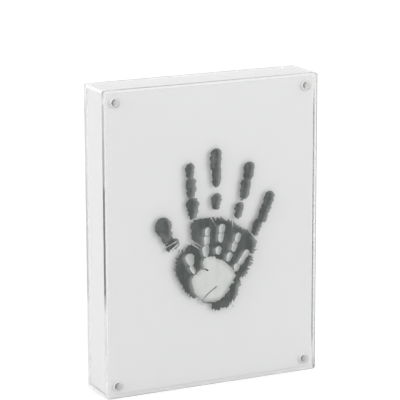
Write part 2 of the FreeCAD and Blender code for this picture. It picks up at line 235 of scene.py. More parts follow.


# How much of a cut face is hazy, and how much is painted grey as painted shade
def hazeAndPaintedShadeOf(shader, finish, isCut, saw):
    across, deep, height = shader.split(shader.place())
    onLeft = shader.maths("LESS_THAN", across, cadBox[0].x + acrylic["edge"])
    onRight = shader.maths("GREATER_THAN", across, cadBox[1].x - acrylic["edge"])
    onBottom = shader.maths("LESS_THAN", height, cadBox[0].z + acrylic["edge"])
    onTop = shader.maths("GREATER_THAN", height, frameMiddle.z)
    fromMiddle = shader.maths("ABSOLUTE", height - frameMiddle.z)
    atEnds = shader.rise(fromMiddle, *acrylic["ends"])
    atOuter = shader.rise(fromMiddle, *acrylic["outer"]) * (1 - acrylic["topLoss"] * onTop)
    patches = shader.maths("MAXIMUM", finish["endHaze"] * atEnds * (1 - onRight),
                           finish["outerHaze"] * onLeft * atOuter)
    haze = isCut * (finish["haze"] + patches) * varied(saw, acrylic["frostSpread"])
    # the painted shade covers the right edges only this near the frame's front and back faces, and all of
    # the bottom edges
    inward = cadBox[1].y - acrylic["paintedEdgeShadeDepth"] - frameMiddle.y
    nearFace = shader.maths("GREATER_THAN", shader.maths("ABSOLUTE", deep - frameMiddle.y), inward)
    rightPaintedShade, bottomPaintedShade = finish["paintedEdgeShades"]
    paintedEdgeShade = shader.maths("MAXIMUM", rightPaintedShade * onRight * nearFace, bottomPaintedShade * onBottom)
    return haze, isCut * paintedEdgeShade * varied(saw, acrylic["paintedEdgeShadeSpread"])


def makeAcrylic(name, finish):
    material = bpy.data.materials.new(name)
    shader = Shader(material)
    saw = shader.noise(acrylic["sawWaves"])
    isCut = shader.maths("LESS_THAN", shader.facing(finish["broad"]), acrylic["broadFrom"])
    haze, paintedEdgeShade = hazeAndPaintedShadeOf(shader, finish, isCut, saw)
    frosted = shader.node("BsdfDiffuse", None, {"Color": acrylic["frost"]})[0]
    # painted shade: a grey diffuse laid on the right and bottom cut edges
    paintedShadeDiffuse = shader.node("BsdfDiffuse", None, {"Color": acrylic["paintedEdgeShade"]})[0]
    body = shader.node("MixShader", None, {0: haze, 1: glassOf(shader, isCut, saw), 2: frosted})[0]
    body = shader.node("MixShader", None, {0: paintedEdgeShade, 1: body, 2: paintedShadeDiffuse})[0]
    # lamps reach what is behind the plate straight through it
    clear = shader.node("BsdfTransparent", None, {"Color": acrylic["lampTint"]})[0]
    path = shader.node("LightPath")
    straight = shader.maths("MAXIMUM", path[rays["shadow"]], path[rays["diffuse"]])
    surface = shader.node("MixShader", None, {0: straight, 1: body, 2: clear})[0]
    sockets = {"Color": acrylic["inside"], "Density": acrylic["density"]}
    shader.finish(surface, shader.node("VolumeAbsorption", None, sockets)[0])
    return material


# Nickel plate on the disc magnets, lightly tumbled. White glue shows round each disc's edge. A painted
# dark reflection lies as a crescent on each disc's left, and painted shade darkens the plate towards its
# left. "rim" and "crescent" are radii, where the one starts and the other comes and goes, and every place
# is in shares of the disc's width.
nickel = {
    "bright": grey(0.53, 0.01),
    "paintedShadeColour": grey(0.38, 0.015),
    "paintedDarkReflection": grey(0.16, 0.02),
    "glue": grey(0.80, 0.01),
    "cloudWaves": (260, 260, 260),
    "scratchWaves": (2600, 300, 420),
    "blotchWaves": (420, 420, 420),
    "relief": (0.25, 0.03 * mm),
    "smooth": 0.10,
    "worn": 0.12,
    "glueRough": 0.4,
    "uneven": 0.12,
    "sideUnder": 0.7,
    "rim": (0.37, 0.42),
    "crescent": (0.19, 0.24, 0.36, 0.40),
    "crescentSide": (0.22, 0.36),
    "crescentUneven": 0.3,
    "crescentLean": 0.2,
    "paintedShadeRange": (0.06, 0.44),
    "paintedShadeUneven": 0.5,
}


def makeNickel():
    material = bpy.data.materials.new("nickelPlate")
    shader = Shader(material)
    cloud = shader.noise(nickel["cloudWaves"], detail=6.0, roughness=0.62)
    scratch = shader.noise(nickel["scratchWaves"], detail=2.0)
    blotch = shader.noise(nickel["blotchWaves"], detail=2.0)
    across, _, up = shader.split(shader.node("TexCoord")[outputs["generated"]])
    across, up = across - 0.5, up - 0.5
    radius = shader.maths("SQRT", across * across + up * up) + nickel["uneven"] * (blotch - 0.5)
    isSide = shader.maths("LESS_THAN", shader.facing("Y"), nickel["sideUnder"])
    glued = shader.maths("MAXIMUM", isSide, shader.rise(radius, *nickel["rim"]))
    shades = (grey(0.0), grey(1.0), grey(1.0), grey(0.0))
    crescent = shader.ramp(radius, list(zip(nickel["crescent"], shades)))
    leftward = nickel["crescentUneven"] * blotch - across + nickel["crescentLean"] * up
    onLeft = shader.rise(leftward, *nickel["crescentSide"])
    # painted shade: the plate is darker towards each disc's left
    paintedShadeMask = shader.rise(cloud * nickel["paintedShadeUneven"] - across, *nickel["paintedShadeRange"])
    plate = shader.mixColours(paintedShadeMask, nickel["bright"], nickel["paintedShadeColour"])
    # painted dark reflection: a dark crescent on each disc's left
    plate = shader.mixColours(crescent * onLeft, plate, nickel["paintedDarkReflection"])
    metal = shader.node("BsdfPrincipled", None, {
        "Base Color": shader.mixColours(glued, plate, nickel["glue"]),
        "Metallic": 1 - glued,
        "Roughness": nickel["smooth"] + nickel["worn"] * cloud + nickel["glueRough"] * glued,
        "Normal": shader.bump(scratch, nickel["relief"]),
    })[0]
    shader.finish(metal)
    return material


# White mount card: long soft fibres, a faint mottle and painted light that makes its foot lighter
card = {
    "light": grey(0.862),
    "shade": grey(0.816),
    "fibreWaves": (2400, 2400, 900),
    "mottleWaves": (60, 60, 60),
    "relief": (0.18, 0.04 * mm),
    "rough": 0.62,
    "fuzz": 0.25,
    "shine": 0.25,
    "paintedLightFoot": 120 * mm,
    "fibreShare": 0.55,
    "mottleShare": 0.45,
    "paintedLightFootShare": 0.5,
}
sleeve = {"light": grey(0.86), "shade": grey(0.82)}


def makeCard(name, light, shade):
    material = bpy.data.materials.new(name)
    shader = Shader(material)
    fibre = shader.noise(card["fibreWaves"], detail=4.0, roughness=0.7)
    mottle = shader.noise(card["mottleWaves"], detail=4.0)
    height = shader.split(shader.place())[2]
    # painted light: the card is lighter towards its foot
    paintedLightFoot = shader.ramp(height, [(0.0, grey(1.0)), (card["paintedLightFoot"], grey(0.0))])
    tone = card["fibreShare"] * fibre + card["mottleShare"] * mottle + card["paintedLightFootShare"] * paintedLightFoot
    paper = shader.node("BsdfPrincipled", None, {
        "Base Color": shader.mixColours(tone, shade, light),
        "Roughness": card["rough"] + card["fuzz"] * fibre,
        "Specular IOR Level": card["shine"],
        "Normal": shader.bump(fibre, card["relief"]),
    })[0]
    shader.finish(paper)
    return material


# White moulded plastic of the corner posts
post = {
    "light": grey(0.82),
    "shade": grey(0.76),
    "pebbleWaves": (1400, 1400, 1400),
    "flowWaves": (40, 40, 15),
    "relief": (0.15, 0.03 * mm),
    "rough": 0.38,
    "matt": 0.12,
}


def makePostPlastic():
    material = bpy.data.materials.new("mouldedWhite")
    shader = Shader(material)
    pebble = shader.noise(post["pebbleWaves"])
    flow = shader.noise(post["flowWaves"], detail=2.0)
    plastic = shader.node("BsdfPrincipled", None, {
        "Base Color": shader.mixColours(flow, post["shade"], post["light"]),
        "Roughness": post["rough"] + post["matt"] * pebble,
        "Normal": shader.bump(pebble, post["relief"]),
    })[0]
    shader.finish(plastic)
    return material


# Brushed-on print paint. The film's own "tone" says how thickly it lies at each point.
darkPaint = {"thin": (0.345, 0.360, 0.350, 1.0), "thick": (0.066, 0.074, 0.070, 1.0)}
palePaint = {"thin": (0.615, 0.628, 0.612, 1.0), "thick": (0.245, 0.265, 0.250, 1.0)}
coat = {
    "speckWaves": (1900, 1900, 1300),
    "specks": 0.16,
    "relief": (0.35, 0.06 * mm),
    "rough": 0.50,
    "matt": 0.2,
    "shine": 0.3,
}


def makePaint(name, paint):
    material = bpy.data.materials.new(name)
    shader = Shader(material)
    tone = shader.node("Attribute", {"attribute_name": "tone"})[2]
    speck = shader.noise(coat["speckWaves"], detail=5.0, roughness=0.65)
    depth = tone + (speck - 0.5) * coat["specks"]
    skin = shader.node("BsdfPrincipled", None, {
        "Base Color": shader.mixColours(depth, paint["thin"], paint["thick"]),
        "Roughness": coat["rough"] + coat["matt"] * speck,
        "Specular IOR Level": coat["shine"],
        "Normal": shader.bump(depth, coat["relief"]),
    })[0]
    shader.finish(skin)
    return material


def dress(name, material):
    mesh = nodes[name].data
    mesh.materials.clear()
    mesh.materials.append(material)


def dressFrame():
    for name, finish in finishes.items():
        material = makeAcrylic(name, finish)
        for piece in finish["pieces"]:
            dress(piece, material)
    mountCard = makeCard("mountCard", card["light"], card["shade"])
    for piece in ("front_card", "rear_card"):
        dress(piece, mountCard)
    dress("card_sleeve", makeCard("sleeveCard", sleeve["light"], sleeve["shade"]))
    nickelPlate = makeNickel()
    mouldedWhite = makePostPlastic()
    for corner in corners:
        dress("post_" + corner, mouldedWhite)
        for place in ("front_magnet_", "rear_magnet_", "post_front_magnet_", "post_rear_magnet_"):
            dress(place + corner, nickelPlate)


dressFrame()
print("plates, walls, cards, posts and magnets dressed")


# Smooth grain between -1 and 1, with its own pitch each way. The table repeats, and each seed starts
# somewhere else in it.
grainTable = {"size": 256, "seed": 31, "start": 1000, "acrossStep": 37.7, "alongStep": 11.3}
grainDots = np.random.default_rng(grainTable["seed"]).random((grainTable["size"], grainTable["size"]))


def grain(across, along, pitchAcross, pitchAlong, seed=0.0):
    u = across / pitchAcross + grainTable["acrossStep"] * seed + grainTable["start"]
    v = along / pitchAlong + grainTable["alongStep"] * seed + grainTable["start"]
    column = np.floor(u).astype(int)
    row = np.floor(v).astype(int)
    u = u - column
    v = v - row
    u = u * u * (3 - 2 * u)
    v = v * v * (3 - 2 * v)
    size = grainTable["size"]
    at = lambda c, r: grainDots[(column + c) % size, (row + r) % size]
    low = at(0, 0) * (1 - u) + at(1, 0) * u
    high = at(0, 1) * (1 - u) + at(1, 1) * u
    return (low * (1 - v) + high * v) * 2 - 1


# Three sizes of grain on top of each other, each finer, fainter and turned against the last
cloud = {"sizes": 3, "turn": 0.6, "turnStep": 1.1, "finer": 1.9, "fainter": 0.6, "seedStep": 5,
         "whole": 1.5}


def clouds(x, z, pitch, seed):
    total = 0
    for index in range(cloud["sizes"]):
        turn = cloud["turn"] + cloud["turnStep"] * index
        u = x * math.cos(turn) - z * math.sin(turn)
        v = x * math.sin(turn) + z * math.cos(turn)
        size = pitch / cloud["finer"] ** index
        own = seed + cloud["seedStep"] * index
        total = total + grain(u, v, size, size, own) * cloud["fainter"] ** index
    return total / cloud["whole"]


# Long brush streaks that wander a little from side to side, broad ones and narrow ones
streak = {"wander": 0.35, "wanderWidth": 3, "wanderLength": 0.35, "broad": 0.7, "narrow": 0.45,
          "narrowWidth": 0.37, "narrowLength": 0.6}


def streaks(across, along, pitch, length, seed):
    bend = grain(across, along, streak["wanderWidth"] * pitch, streak["wanderLength"] * length, seed + 3)
    side = across + streak["wander"] * pitch * bend
    broad = grain(side, along, pitch, length, seed)
    narrow = grain(side, along, streak["narrowWidth"] * pitch, streak["narrowLength"] * length, seed + 9)
    return streak["broad"] * broad + streak["narrow"] * narrow


# 0 below low, 1 above high, and a soft rise between them
def smooth(value, low, high):
    share = np.clip((value - low) / (high - low), 0, 1)
    return share * share * (3 - 2 * share)


# Each hand has its heel's middle and its span in millimetres, and the rest is in shares of the span
# from there. A pad is its middle across and up, length, width, lean to the right in degrees, and its
# lower end's share of the width. A crease or a fold is its width and the points along it. "rough" and
# "palmRough" are how ragged the edges of pads and palms are, and "ridge" how broad their teeth are.
# One weight sets the painted shade that darkens the pads' right side and the palm's rim, and "palmGrain"
# is how uneven the palm's paint lies.
adultHand = {
    "heel": (2.7, 76.0),
    "span": 164.5,
    "pads": [
        (-0.333, 0.529, 0.164, 0.104, -17, 0.72), (-0.284, 0.438, 0.092, 0.066, 65, 0.90),
        (-0.168, 0.871, 0.098, 0.058, 2, 0.85), (-0.161, 0.768, 0.126, 0.067, -2, 0.80),
        (-0.150, 0.641, 0.136, 0.085, -4, 0.50),
        (0.002, 0.923, 0.138, 0.075, 2, 0.90), (0.006, 0.826, 0.138, 0.064, -1, 0.80),
        (0.004, 0.669, 0.104, 0.065, 3, 0.75),
        (0.220, 0.832, 0.118, 0.073, 8, 0.90), (0.196, 0.729, 0.124, 0.067, 9, 0.85),
        (0.153, 0.602, 0.098, 0.059, 14, 0.70),
        (0.352, 0.640, 0.118, 0.069, 17, 0.90), (0.321, 0.567, 0.126, 0.067, 17, 0.90),
        (0.269, 0.480, 0.112, 0.064, 19, 0.70),
    ],
    "palms": [
        [(-0.162, 0.500), (-0.161, 0.545), (-0.138, 0.570), (-0.090, 0.577), (-0.035, 0.577),
         (0.020, 0.570), (0.070, 0.552), (0.120, 0.530), (0.165, 0.495), (0.215, 0.471),
         (0.250, 0.433), (0.269, 0.390), (0.262, 0.338), (0.246, 0.290), (0.226, 0.235),
         (0.188, 0.187), (0.157, 0.140), (0.150, 0.095), (0.130, 0.052), (0.098, 0.014),
         (0.050, 0.004), (0.000, 0.006), (-0.034, 0.026), (-0.010, 0.100), (-0.030, 0.260),
         (-0.070, 0.380), (-0.115, 0.420), (-0.150, 0.455)],
        [(-0.205, 0.388), (-0.186, 0.413), (-0.160, 0.427), (-0.120, 0.415), (-0.084, 0.375),
         (-0.060, 0.250), (-0.085, 0.160), (-0.104, 0.092), (-0.144, 0.098), (-0.180, 0.116),
         (-0.216, 0.165), (-0.246, 0.218), (-0.261, 0.275), (-0.267, 0.325), (-0.242, 0.362)],
    ],
    "creases": [
        (0.008, [(-0.166, 0.453), (-0.088, 0.402)]), (0.006, [(-0.156, 0.427), (-0.098, 0.386)]),
        (0.008, [(-0.038, 0.588), (0.000, 0.523)]), (0.005, [(-0.014, 0.590), (0.002, 0.556)]),
        (0.007, [(0.112, 0.556), (0.111, 0.486)]), (0.010, [(0.228, 0.318), (0.290, 0.312)]),
        (0.008, [(0.212, 0.482), (0.236, 0.449), (0.270, 0.408)]),
        (0.006, [(-0.298, 0.401), (-0.250, 0.434)]),
    ],
    "folds": [(0.006, [(-0.330, 0.424), (-0.262, 0.452)]), (0.005, [(-0.286, 0.378), (-0.238, 0.400)]),
              (0.007, [(-0.190, 0.560), (-0.158, 0.572), (-0.118, 0.586)])],
    "rough": 1.0,
    "palmRough": 1.25,
    "ridge": 1.2,
    "paintedShadeStrength": 0.0,
    "palmGrain": 1.0,
}
babyHand = {
    "heel": (0.6, 85.2),
    "span": 78.4,
    "pads": [
        (-0.326, 0.580, 0.164, 0.120, -14, 0.75), (-0.290, 0.450, 0.116, 0.062, -30, 0.90),
        (-0.085, 0.912, 0.112, 0.073, 3, 0.90), (-0.094, 0.806, 0.158, 0.082, 3, 0.90),
        (-0.109, 0.669, 0.146, 0.099, -2, 0.75),
        (0.114, 0.925, 0.132, 0.083, 6, 0.90), (0.101, 0.825, 0.140, 0.080, 8, 0.85),
        (0.066, 0.656, 0.112, 0.086, 6, 0.80),
        (0.336, 0.788, 0.130, 0.080, 17, 0.90), (0.287, 0.683, 0.136, 0.078, 17, 0.85),
        (0.217, 0.553, 0.124, 0.082, 20, 0.80),
        (0.446, 0.563, 0.120, 0.078, 33, 0.95), (0.390, 0.487, 0.125, 0.074, 36, 0.90),
        (0.318, 0.406, 0.104, 0.084, 18, 0.75),
    ],
    "palms": [
        [(-0.149, 0.500), (-0.142, 0.562), (-0.098, 0.583), (-0.034, 0.586), (0.021, 0.573),
         (0.060, 0.545), (0.120, 0.517), (0.180, 0.480), (0.235, 0.425), (0.280, 0.365),
         (0.300, 0.305), (0.282, 0.250), (0.245, 0.188), (0.195, 0.118), (0.142, 0.052),
         (0.090, 0.012), (0.020, -0.002), (-0.070, 0.008), (-0.135, 0.024), (-0.180, 0.067),
         (-0.240, 0.118), (-0.280, 0.183), (-0.300, 0.270), (-0.295, 0.350), (-0.262, 0.386),
         (-0.220, 0.400), (-0.180, 0.434), (-0.142, 0.452)],
    ],
    "creases": [(0.012, [(0.033, 0.186), (-0.035, 0.144), (-0.091, 0.103), (-0.136, 0.058)])],
    "folds": [(0.016, [(-0.170, 0.444), (-0.118, 0.437), (-0.084, 0.414)]),
              (0.003, [(-0.155, 0.738), (-0.050, 0.752)]), (0.003, [(-0.146, 0.862), (-0.030, 0.856)]),
              (0.003, [(0.050, 0.868), (0.160, 0.880)]), (0.003, [(0.250, 0.735), (0.370, 0.708)])],
    "rough": 0.30,
    "palmRough": 0.6,
    "ridge": 0.9,
    "paintedShadeStrength": 1.0,
    "palmGrain": 0.8,
}
# Dark paint outside the adult hand's pads and palms, in shares of its span: an arc under the baby's
# heel, a few specks, and a thread in the baby palm's crease
marks = [
    (0.010, [(-0.094, 0.078), (-0.084, 0.062), (-0.065, 0.055), (-0.032, 0.053), (-0.008, 0.050)]),
    (0.012, [(0.168, 0.664), (0.173, 0.661)]),
    (0.007, [(-0.240, 0.402), (-0.243, 0.388)]),
    (0.008, [(-0.222, 0.399), (-0.216, 0.378)]),
    (0.0045, [(0.001, 0.143), (-0.029, 0.125), (-0.056, 0.105), (-0.076, 0.085)]),
]
# The paint films, in millimetres, are laid on a grid of cells. "rimShare" and "thinShare" are how thick
# they still are at their rims and where little paint lies, and "sunk" is how far they reach into the
# plate. An edge cuts a cell's side no nearer to its ends than "nearest", a share of the side. "gap"
# parts the two films, and "crease" widens the creases, whose edges wobble.
film = {
    "cell": 0.5,
    "margin": 3,
    "thick": 0.14,
    "rim": 0.9,
    "rimShare": 0.3,
    "thinShare": 0.82,
    "sunk": 0.03,
    "nearest": 0.02,
    "gap": 0.3,
    "crease": 0.15,
    "creaseWobble": 0.2,
    "creasePitch": 1.8,
}
# What skin and brush leave on a pad, with pitches in millimetres: teeth along its flanks, a frayed lower
# end, lumps all round, and paint that lies in streaks, clouds and ridges. The teeth are calmer at both
# ends. "flanks" keeps the two flanks' coarse and fine teeth apart in the grain.
padSkin = {
    "wobble": 0.5,
    "wobblePitch": 3,
    "flanks": (50, 90),
    "teethPitch": 1.6,
    "fineTeethPitch": 0.7,
    "fineTeeth": 0.8,
    "lowerShares": (0.2, 0.5),
    "tipShares": (0.15, 0.45),
    "calm": 0.6,
    "fray": 1.3,
    "frayPitch": (1.5, 5),
    "fineFray": 0.5,
    "fineFrayPitch": (0.7, 4),
    "lumps": 0.3,
    "lumpPitch": 2.4,
    "streaks": 0.14,
    "streakShares": (0.3, 2.2),
    "clouds": 0.11,
    "cloudPitch": 4,
    "ridges": 0.08,
    "ridgePitch": (6, 0.75),
    # the tilt paints shade across a pad, darker towards its right side
    "tilt": 0.85,
    "paintedShadeShares": (-0.5, 0.42),
}
# The same on a palm, where the teeth come and go in patches round its rim and are calmer at its top
palmSkin = {
    "aroundShare": 0.22,
    "patch": 0.6,
    "patchPitch": 9,
    "patchRange": (-0.4, 0.4),
    "teeth": 1.4,
    "teethPitch": (1.1, 6),
    "fineTeeth": 0.8,
    "fineTeethPitch": (0.55, 4),
    "calm": 0.4,
    "calmShare": 0.2,
    "rimShare": 0.07,
    "lumps": 0.4,
    "lumpPitch": 4,
    "fanShare": 2.2,
    "streaks": 0.10,
    "streakPitch": (5, 50),
    "clouds": 0.09,
    "cloudPitch": 9,
    "ridges": 0.05,
    "ridgePitch": (0.8, 9),
    # painted shade along the palm's rim, and more at its lower right
    "rimPaintedShade": 0.30,
    "lowRightPaintedShade": 0.35,
    "lowRightShadeShares": (-0.1, 0.4),
}
# Seeds keep the hands, their palms and, by the steps in the code, each grain apart
seeds = {"adult": 10, "baby": 700, "palms": 300}


def ownPlace(hand, across, up):
    return hand["heel"][0] + across * hand["span"], hand["heel"][1] + up * hand["span"]


# Depth inside an egg-shaped pad, with the point's place across and along it
def padDepth(hand, pad, x, z):
    across, up, length, width, lean, taper = pad
    centreX, centreZ = ownPlace(hand, across, up)
    long, wide = length * hand["span"], width * hand["span"]
    turn = math.radians(lean)
    dx, dz = x - centreX, z - centreZ
    side = dx * math.cos(turn) - dz * math.sin(turn)
    along = dx * math.sin(turn) + dz * math.cos(turn)
    upper, lower = wide / 2, wide / 2 * taper
    apart = long - upper - lower
    slope = (lower - upper) / apart
    flank = math.sqrt(1 - slope * slope)
    px, py = np.abs(side), along + long / 2 - lower
    reach = py * flank - px * slope
    atLower = lower - np.hypot(px, py)
    atUpper = upper - np.hypot(px, py - apart)
    between = lower - (px * flank + py * slope)
    depth = np.where(reach < 0, atLower, np.where(reach > flank * apart, atUpper, between))
    return depth, side, along


# A smooth closed curve through the points
def roundLoop(points, steps=10):
    loop = []
    for index in range(len(points)):
        a, b, c, d = (np.array(points[(index + shift) % len(points)]) for shift in (-1, 0, 1, 2))
        for step in range(steps):
            t = step / steps
            loop.append(0.5 * (2 * b + (c - a) * t + (2 * a - 5 * b + 4 * c - d) * t * t
                               + (3 * b - a - 3 * c + d) * t * t * t))
    return loop


# How far off the straight line between two points is
def awayFromLine(x, z, start, end):
    ex, ez = end[0] - start[0], end[1] - start[1]
    share = np.clip(((x - start[0]) * ex + (z - start[1]) * ez) / (ex * ex + ez * ez), 0, 1)
    return np.hypot(x - start[0] - share * ex, z - start[1] - share * ez)


# Depth inside a palm's smooth outline
def palmDepth(hand, points, x, z):
    loop = roundLoop([ownPlace(hand, across, up) for across, up in points])
    nearest = np.full(x.shape, np.inf)
    inside = np.zeros(x.shape, bool)
    for start, end in zip(loop, loop[1:] + loop[:1]):
        nearest = np.minimum(nearest, awayFromLine(x, z, start, end))
        crosses = (start[1] > z) != (end[1] > z)
        if start[1] != end[1]:
            inside ^= crosses & (x < (end[0] - start[0]) * (z - start[1]) / (end[1] - start[1]) + start[0])
    return np.where(inside, nearest, -nearest)


# Depth inside a line of its own width through some points
def lineDepth(hand, width, points, x, z):
    places = [ownPlace(hand, across, up) for across, up in points]
    nearest = np.full(x.shape, np.inf)
    for start, end in zip(places, places[1:]):
        nearest = np.minimum(nearest, awayFromLine(x, z, start, end))
    wobble = film["creaseWobble"] * clouds(x, z, film["creasePitch"], 5)
    return width * hand["span"] / 2 - nearest + wobble


# Depth inside a hand's plain outline, without the skin's own roughness
def plainDepth(hand, x, z):
    best = np.full(x.shape, -np.inf)
    for pad in hand["pads"]:
        best = np.maximum(best, padDepth(hand, pad, x, z)[0])
    for points in hand["palms"]:
        best = np.maximum(best, palmDepth(hand, points, x, z))
    return best


# Depth inside a pad's print, and how the paint varies there. The baby's pads are painted darker towards
# their right side, as painted shade.
def padPrint(hand, pad, x, z, own):
    skin, ridge = padSkin, hand["ridge"]
    depth, side, along = padDepth(hand, pad, x, z)
    long, wide = pad[2] * hand["span"], pad[3] * hand["span"]
    flank = along + skin["wobble"] * grain(x, z, skin["wobblePitch"], skin["wobblePitch"], own)
    teeth = grain(np.sign(side) * skin["flanks"][0], flank, 1, skin["teethPitch"] * ridge, own)
    fine = grain(np.sign(side) * skin["flanks"][1], flank, 1, skin["fineTeethPitch"] * ridge, own + 20)
    teeth = teeth + skin["fineTeeth"] * fine
    lower = smooth(-along, *(share * long for share in skin["lowerShares"]))
    tip = smooth(along, *(share * long for share in skin["tipShares"]))
    fray = grain(side, along, skin["frayPitch"][0] * ridge, skin["frayPitch"][1], own + 40)
    fine = grain(side, along, skin["fineFrayPitch"][0] * ridge, skin["fineFrayPitch"][1], own + 60)
    fray = fray + skin["fineFray"] * fine
    calm = 1 - skin["calm"] * lower - skin["calm"] * tip
    lumps = skin["lumps"] * clouds(x, z, skin["lumpPitch"], own)
    depth = depth + hand["rough"] * (teeth * calm + skin["fray"] * lower * fray + lumps)
    strokeWide, strokeLong = skin["streakShares"]
    ridges = grain(side, flank, skin["ridgePitch"][0], skin["ridgePitch"][1] * ridge, own + 100)
    lay = skin["streaks"] * streaks(side, along, strokeWide * wide, strokeLong * long, own + 80) \
        + skin["clouds"] * clouds(x, z, skin["cloudPitch"], own + 90) + skin["ridges"] * ridges
    # painted shade: the baby's pads are darker towards their right side
    lay = lay + skin["tilt"] * hand["paintedShadeStrength"] * smooth(side / wide, *skin["paintedShadeShares"])
    return depth, lay


# The same for a palm. The baby's palm is painted darker along its rim, and most at its lower right, as
# painted shade.
def palmPrint(hand, points, x, z, own):
    skin, ridge, span = palmSkin, hand["ridge"], hand["span"]
    depth = palmDepth(hand, points, x, z)
    middleX, middleZ = ownPlace(hand, *np.mean(points, axis=0))
    angle = np.arctan2(z - middleZ, x - middleX)
    away = np.hypot(x - middleX, z - middleZ)
    around = angle * span * skin["aroundShare"]
    patch = smooth(grain(around, away * 0, skin["patchPitch"], 1, own), *skin["patchRange"])
    teeth = grain(around, away, skin["teethPitch"][0] * ridge, skin["teethPitch"][1], own + 10)
    fine = grain(around, away, skin["fineTeethPitch"][0] * ridge, skin["fineTeethPitch"][1], own + 15)
    teeth = teeth + skin["fineTeeth"] * fine
    teeth = teeth * (1 - skin["calm"] * smooth(z - middleZ, 0, skin["calmShare"] * span))
    rim = 1 - smooth(depth, 0, skin["rimShare"] * span)
    lumps = skin["lumps"] * clouds(x, z, skin["lumpPitch"], own)
    depth = depth + hand["palmRough"] * (skin["teeth"] * (1.0 + skin["patch"] * patch) * teeth + lumps)
    fan = (x - middleX) / (1 + (z - middleZ) / (skin["fanShare"] * span))
    ridges = grain(around, away, skin["ridgePitch"][0] * ridge, skin["ridgePitch"][1], own + 40)
    lay = skin["streaks"] * streaks(fan, z, *skin["streakPitch"], own + 20) \
        + skin["clouds"] * clouds(x, z, skin["cloudPitch"], own + 30) + skin["ridges"] * ridges
    # painted shade: the baby's palm is darker along its rim, most at its lower right
    lowRightShade = smooth((x - middleX) - (z - middleZ), *(share * span for share in skin["lowRightShadeShares"]))
    paintedRimShade = rim * (skin["rimPaintedShade"] + skin["lowRightPaintedShade"] * lowRightShade)
    return depth, hand["palmGrain"] * lay + hand["paintedShadeStrength"] * paintedRimShade


# Depth inside a hand's whole print, and how the paint varies there
def handDepth(hand, x, z, seed):
    prints = [padPrint(hand, pad, x, z, seed + number) for number, pad in enumerate(hand["pads"])]
    prints += [palmPrint(hand, points, x, z, seed + seeds["palms"] + number)
               for number, points in enumerate(hand["palms"])]
    best, lay = prints[0]
    for depth, ownLay in prints[1:]:
        lay = np.where(depth > best, ownLay, lay)
        best = np.maximum(best, depth)
    for width, points in hand["creases"] + hand["folds"]:
        best = np.minimum(best, -lineDepth(hand, width, points, x, z) - film["crease"])
    return best, lay


# How thickly the two coats lie. The adult's is painted lighter along its right-hand edges, as a painted
# highlight: it goes by the depth inside the outline at "shift" millimetres to the right, and rises to its
# full over the "reach".
coats = {"babyBase": 0.05, "adultLeast": 0.28, "adultMore": 0.66, "shift": 4, "reach": (-4.2, 1.6)}


# Depth of the two coats, and how thickly each lies. The adult print stays clear of the baby print in
# its palm.
def printLayers(x, z):
    babyDepth, babyLay = handDepth(babyHand, x, z, seeds["baby"])
    adultDepth, adultLay = handDepth(adultHand, x, z, seeds["adult"])
    for width, points in marks:
        adultDepth = np.maximum(adultDepth, lineDepth(adultHand, width, points, x, z))
    adultDepth = np.minimum(adultDepth, -babyDepth - film["gap"])
    # painted highlight: the adult print is lighter near its right-hand edges
    shifted = x + coats["shift"]
    onRight = np.minimum(plainDepth(adultHand, shifted, z), -plainDepth(babyHand, shifted, z))
    full = coats["adultLeast"] + coats["adultMore"] * smooth(onRight, *coats["reach"])
    return (adultDepth, full * (1 + adultLay)), (babyDepth, coats["babyBase"] + babyLay)


# Cuts the grid along the edge of the print, and gives the flat cells and their corner points
def cutCells(x, z, depth):
    points, places, cells = {}, [], []

    def point(key, px, pz):
        if key not in points:
            points[key] = len(places)
            places.append((px, pz))
        return points[key]

    solid = depth > 0
    touched = solid[:-1, :-1] | solid[1:, :-1] | solid[1:, 1:] | solid[:-1, 1:]
    for i, j in zip(*np.nonzero(touched)):
        ring = [(i, j), (i + 1, j), (i + 1, j + 1), (i, j + 1)]
        cell = []
        for here, following in zip(ring, ring[1:] + ring[:1]):
            if solid[here]:
                cell.append(point(here, x[here], z[here]))
            if solid[here] != solid[following]:
                first, last = sorted((here, following))
                share = depth[first] / (depth[first] - depth[last])
                share = min(max(share, film["nearest"]), 1 - film["nearest"])
                px = x[first] + (x[last] - x[first]) * share
                pz = z[first] + (z[last] - z[first]) * share
                cell.append(point((first, last), px, pz))
        cells.append(cell)
    return places, cells


# A closed paint film on the front plate's outer face
def makeFilm(name, x, z, depth, tone):
    places, cells = cutCells(x, z, depth)
    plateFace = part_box("front_plate")[0].y
    count = len(places)
    spots = np.array(places)
    column = np.clip(np.round((spots[:, 0] - x[0, 0]) / film["cell"]).astype(int), 0, x.shape[0] - 1)
    row = np.clip(np.round((spots[:, 1] - z[0, 0]) / film["cell"]).astype(int), 0, x.shape[1] - 1)
    under = np.clip(depth[column, row], 0, None)
    ownTone = np.clip(tone[column, row], 0, 1)
    body = film["rimShare"] + (1 - film["rimShare"]) * smooth(under, 0, film["rim"])
    height = film["thick"] * body * (film["thinShare"] + (1 - film["thinShare"]) * ownTone)
    front = [(px * mm, plateFace - h * mm, pz * mm) for (px, pz), h in zip(places, height)]
    back = [(px * mm, plateFace + film["sunk"] * mm, pz * mm) for px, pz in places]
    faces = cells + [[index + count for index in reversed(cell)] for cell in cells]
    sides = {}
    for cell in cells:
        for here, following in zip(cell, cell[1:] + cell[:1]):
            if (following, here) in sides:
                del sides[following, here]
            else:
                sides[here, following] = True
    faces += [[following, here, here + count, following + count] for here, following in sides]
    mesh = bpy.data.meshes.new(name)
    mesh.from_pydata(front + back, [], faces)
    mesh.validate()
    density = mesh.attributes.new("tone", "FLOAT", "POINT")
    density.data.foreach_set("value", np.concatenate([ownTone, ownTone]).astype(np.float32))
    piece = bpy.data.objects.new(name, mesh)
    bpy.context.scene.collection.objects.link(piece)
    print(name, len(faces), "faces")
    return piece


